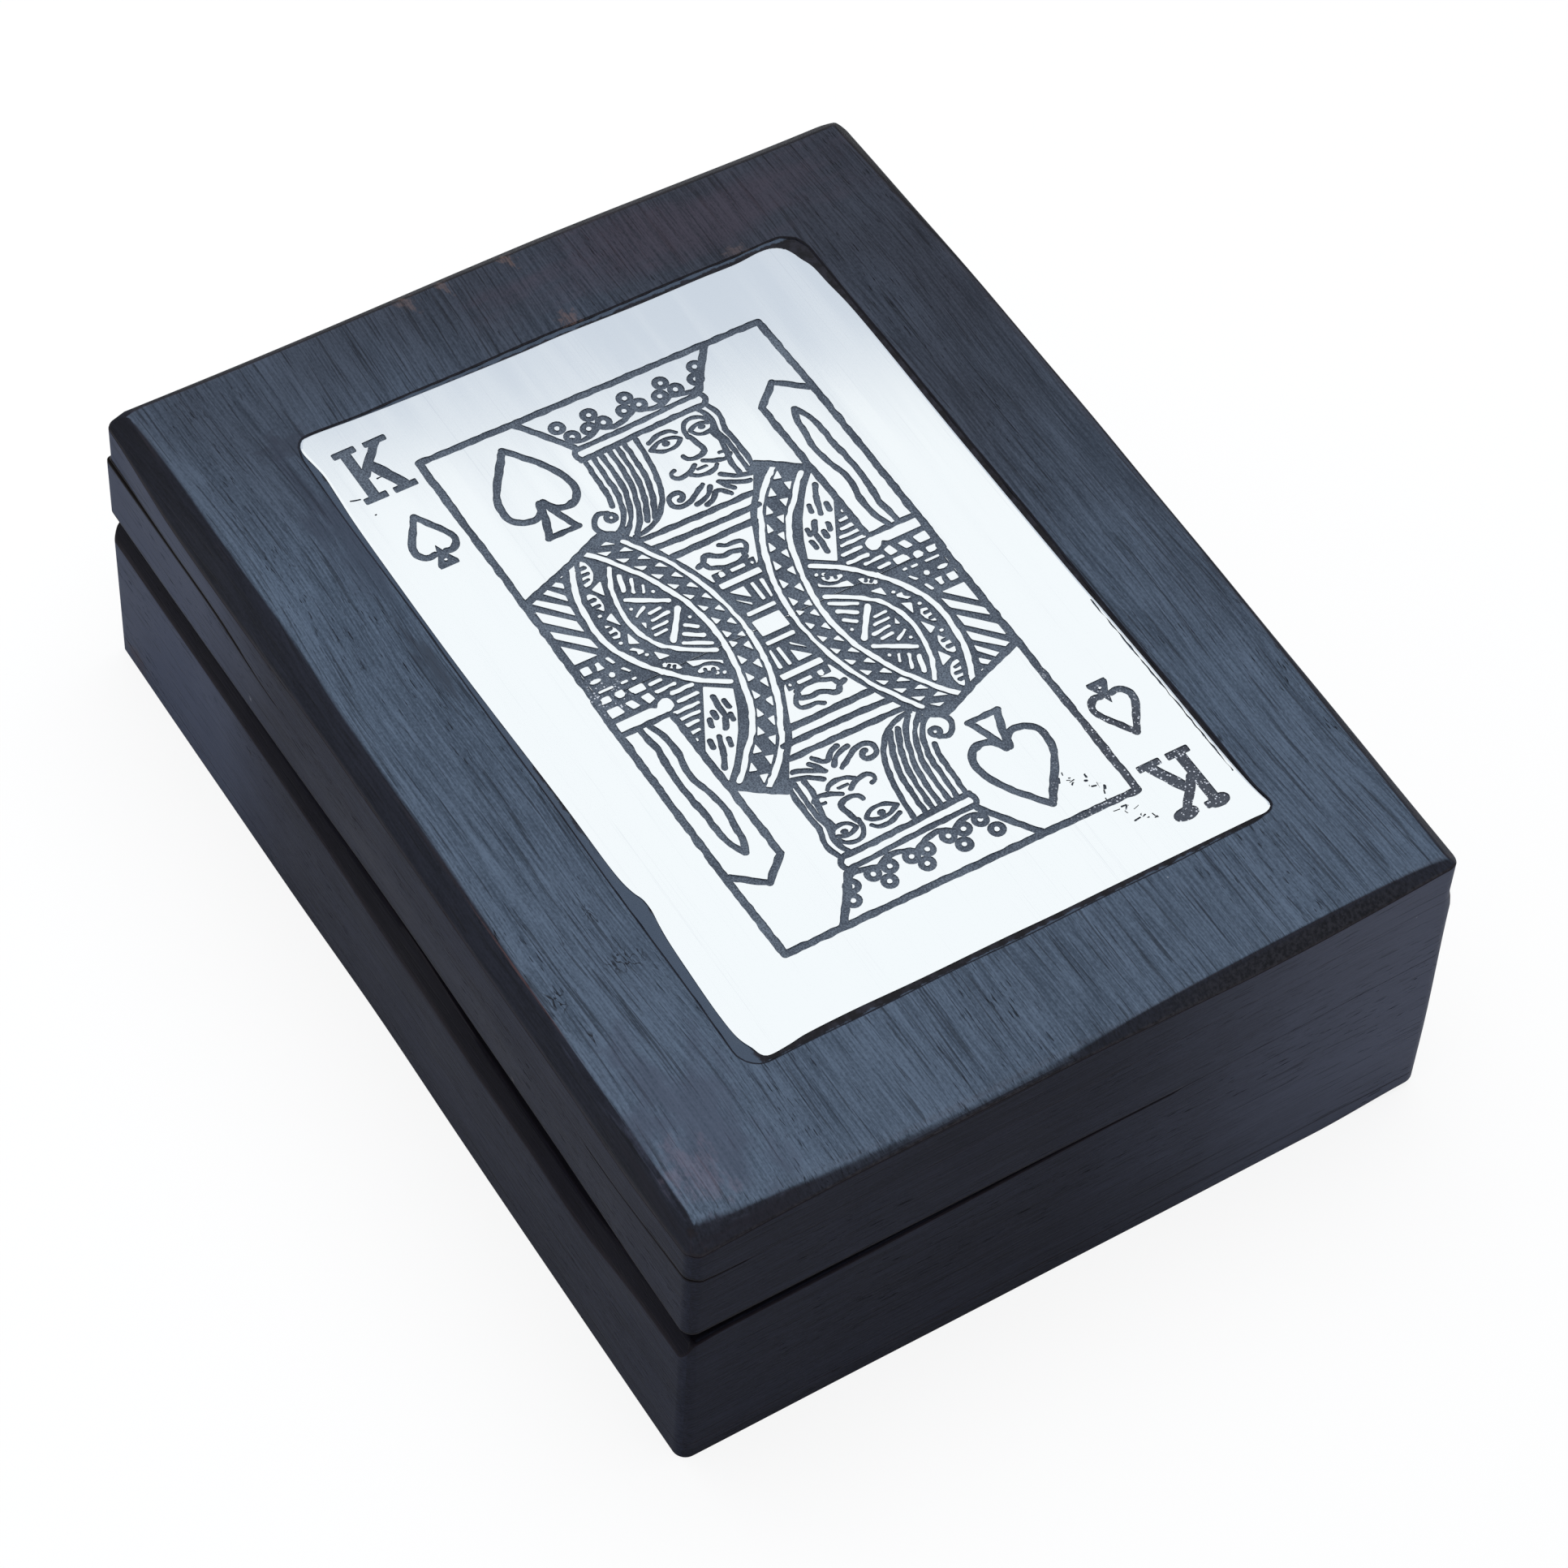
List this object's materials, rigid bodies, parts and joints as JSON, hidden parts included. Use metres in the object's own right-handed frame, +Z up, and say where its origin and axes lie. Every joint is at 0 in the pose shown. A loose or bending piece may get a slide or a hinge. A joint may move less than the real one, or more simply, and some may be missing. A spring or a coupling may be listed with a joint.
{
  "type": "playing card box",
  "caption": "Small rectangular wooden box for playing cards, with a hinged lid that carries an inset metal plate, and a finger bevel along the front.",
  "frame": {"origin": "centre of the underside of the wooden box, on the surface it stands on, leaving out the hinge barrels", "axes": "+X along the long side, +Y towards the hinges at the back, +Z up through the lid"},
  "size_m": [0.12, 0.0935, 0.0394],
  "materials": {
    "top_wood": "satin black stain, open pores",
    "side_wood": "satin black stain",
    "plate_metal": "polished, finely scratched, etched figure",
    "black_filler": "hardened filler, part glossy",
    "brass_leaf": "satin, slightly aged",
    "brass_hardware": "satin",
    "felt": "short wool pile"
  },
  "bodies": {
    "base": {"base_bottom_board": "side_wood", "base_rail_front": "side_wood", "base_rail_back": "side_wood", "base_rail_left": "side_wood", "base_rail_right": "side_wood", "base_lining": "felt", "hinge_left_base_leaf": "brass_leaf", "hinge_right_base_leaf": "brass_leaf", "hinge_left_pin": "brass_hardware", "hinge_right_pin": "brass_hardware", "hinge_left_base_screws": "brass_hardware", "hinge_right_base_screws": "brass_hardware"},
    "lid": {"lid_top_board": "top_wood", "lid_rail_front": "side_wood", "lid_rail_back": "side_wood", "lid_rail_left": "side_wood", "lid_rail_right": "side_wood", "inlay_filler": "black_filler", "inlay_plate": "plate_metal", "hinge_left_lid_leaf": "brass_leaf", "hinge_right_lid_leaf": "brass_leaf", "hinge_left_lid_screws": "brass_hardware", "hinge_right_lid_screws": "brass_hardware"}
  },
  "joints": [
    {"name": "lid_hinge", "type": "hinge", "parent": "base", "child": "lid", "pos_m": [0, 0.0464, 0.02345], "axis": [-1, 0, 0], "range_deg": [0, 180]}
  ]
}
